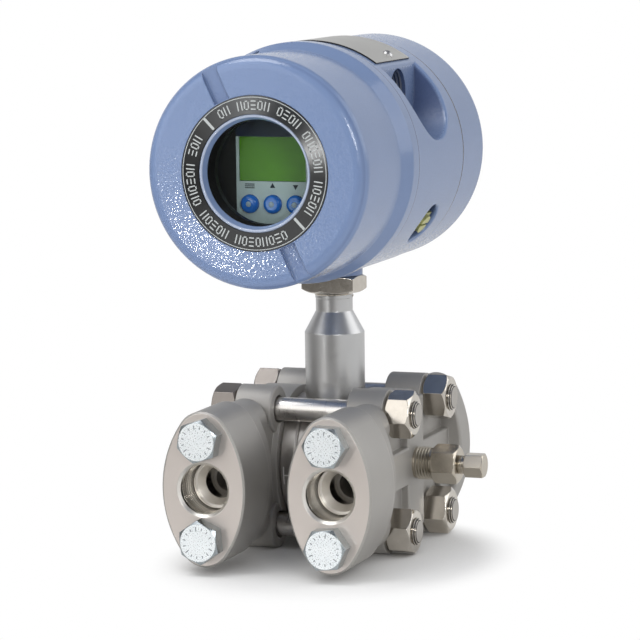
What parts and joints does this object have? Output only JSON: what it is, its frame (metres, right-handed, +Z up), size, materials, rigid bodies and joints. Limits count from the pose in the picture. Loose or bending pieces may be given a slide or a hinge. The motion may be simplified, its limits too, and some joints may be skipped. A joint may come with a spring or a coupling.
{
  "type": "differential pressure switch",
  "caption": "Barrel electronics housing with a round display window on a steel neck, above a pressure capsule clamped between cast flanges with oval process adapters and a vent valve.",
  "frame": {"origin": "under the middle of the whole object, at the level of the lower stud bosses it stands on", "axes": "+Z up along the neck, display and process ports look along -Y, vent valve along +X"},
  "size_m": [0.1156, 0.1522, 0.2133],
  "materials": {
    "housing_paint": "gloss blue paint on cast aluminium",
    "cast_steel": "satin, as cast",
    "machined_steel": "fine turned and ground",
    "bright_steel": "bright",
    "zinc_steel": "bright zinc plated",
    "diaphragm_foil": "bright foil",
    "plate_steel": "brushed sheet",
    "seal_rubber": "matte",
    "seal_white": "matte",
    "dark_plastic": "fine texture",
    "pale_plastic": "smooth",
    "button_blue": "gloss",
    "board_green": "satin",
    "lcd_green": "gloss",
    "window_glass": "clear",
    "legend_grey": "satin print",
    "earth_metal": "zinc plated"
  },
  "bodies": {
    "sensor": {"sensor_capsule": "machined_steel", "isolating_diaphragm_right": "diaphragm_foil", "isolating_diaphragm_left": "diaphragm_foil", "flange_gasket_right": "seal_white", "flange_gasket_left": "seal_white", "flange_right": "cast_steel", "flange_left": "cast_steel", "flange_studs": "bright_steel", "flange_nuts_right": "bright_steel", "flange_nuts_left": "bright_steel", "adapter_right": "machined_steel", "adapter_left": "machined_steel", "adapter_seal_right": "seal_white", "adapter_seal_left": "seal_white", "adapter_bolts_right": "zinc_steel", "adapter_bolts_left": "zinc_steel", "vent_body": "bright_steel", "vent_plug": "bright_steel", "neck_tube": "machined_steel", "lock_nut": "bright_steel"},
    "vent_ball": {"vent_ball": "bright_steel"},
    "vent_stem": {"vent_stem": "bright_steel"},
    "housing": {"housing_body": "housing_paint", "neck_seal": "seal_rubber", "nameplate": "plate_steel", "nameplate_screws": "bright_steel", "earth_clamp": "earth_metal", "earth_screw": "bright_steel", "electronics_module": "dark_plastic", "display_bezel": "dark_plastic", "display_board": "board_green", "lcd_panel": "lcd_green", "display_faceplate": "pale_plastic", "terminal_block": "dark_plastic", "terminal_screws": "bright_steel"},
    "front_seal": {"front_cover_seal": "seal_rubber"},
    "front_cover": {"front_cover": "housing_paint", "window_glass": "window_glass", "window_retainer": "machined_steel", "legend_ring": "legend_grey", "cover_lock_screw": "bright_steel"},
    "rear_seal": {"rear_cover_seal": "seal_rubber"},
    "rear_cover": {"rear_cover": "housing_paint"},
    "button_menu": {"button_menu": "button_blue"},
    "button_up": {"button_up": "button_blue"},
    "button_down": {"button_down": "button_blue"}
  },
  "joints": [
    {"name": "housing_swivel", "type": "hinge", "parent": "sensor", "child": "housing", "pos_m": [-0.0082, 0.01512, 0.1145], "axis": [0, 0, 1], "range_deg": [-180, 180]},
    {"name": "front_cover_travel", "type": "slide", "parent": "housing", "child": "front_seal", "axis": [0, -1, 0], "range_m": [0, 0.0101]},
    {"name": "front_cover_turn", "type": "hinge", "parent": "front_seal", "child": "front_cover", "pos_m": [-0.0082, -0.04487, 0.1637], "axis": [0, -1, 0], "range_deg": [0, 1800]},
    {"name": "rear_cover_travel", "type": "slide", "parent": "housing", "child": "rear_seal", "axis": [0, 1, 0], "range_m": [0, 0.0101]},
    {"name": "rear_cover_turn", "type": "hinge", "parent": "rear_seal", "child": "rear_cover", "pos_m": [-0.0082, 0.06012, 0.1637], "axis": [0, 1, 0], "range_deg": [0, 1800]},
    {"name": "vent_ball_travel", "type": "slide", "parent": "sensor", "child": "vent_ball", "axis": [1, 0, 0], "range_m": [0, 0.00255]},
    {"name": "vent_stem_turn", "type": "hinge", "parent": "vent_ball", "child": "vent_stem", "pos_m": [0.0418, 0.01512, 0.0345], "axis": [1, 0, 0], "range_deg": [0, 720]},
    {"name": "button_menu_press", "type": "slide", "parent": "housing", "child": "button_menu", "axis": [0, 1, 0], "range_m": [0, 0.0006], "stiffness_N_per_m": 800, "springref_m": -0.002},
    {"name": "button_up_press", "type": "slide", "parent": "housing", "child": "button_up", "axis": [0, 1, 0], "range_m": [0, 0.0006], "stiffness_N_per_m": 800, "springref_m": -0.002},
    {"name": "button_down_press", "type": "slide", "parent": "housing", "child": "button_down", "axis": [0, 1, 0], "range_m": [0, 0.0006], "stiffness_N_per_m": 800, "springref_m": -0.002}
  ],
  "couplings": [
    {"joint": "front_cover_travel", "follows": "front_cover_turn", "m_per_rad": 0.00031831},
    {"joint": "rear_cover_travel", "follows": "rear_cover_turn", "m_per_rad": 0.00031831},
    {"joint": "vent_ball_travel", "follows": "vent_stem_turn", "m_per_rad": 0.00019894}
  ]
}
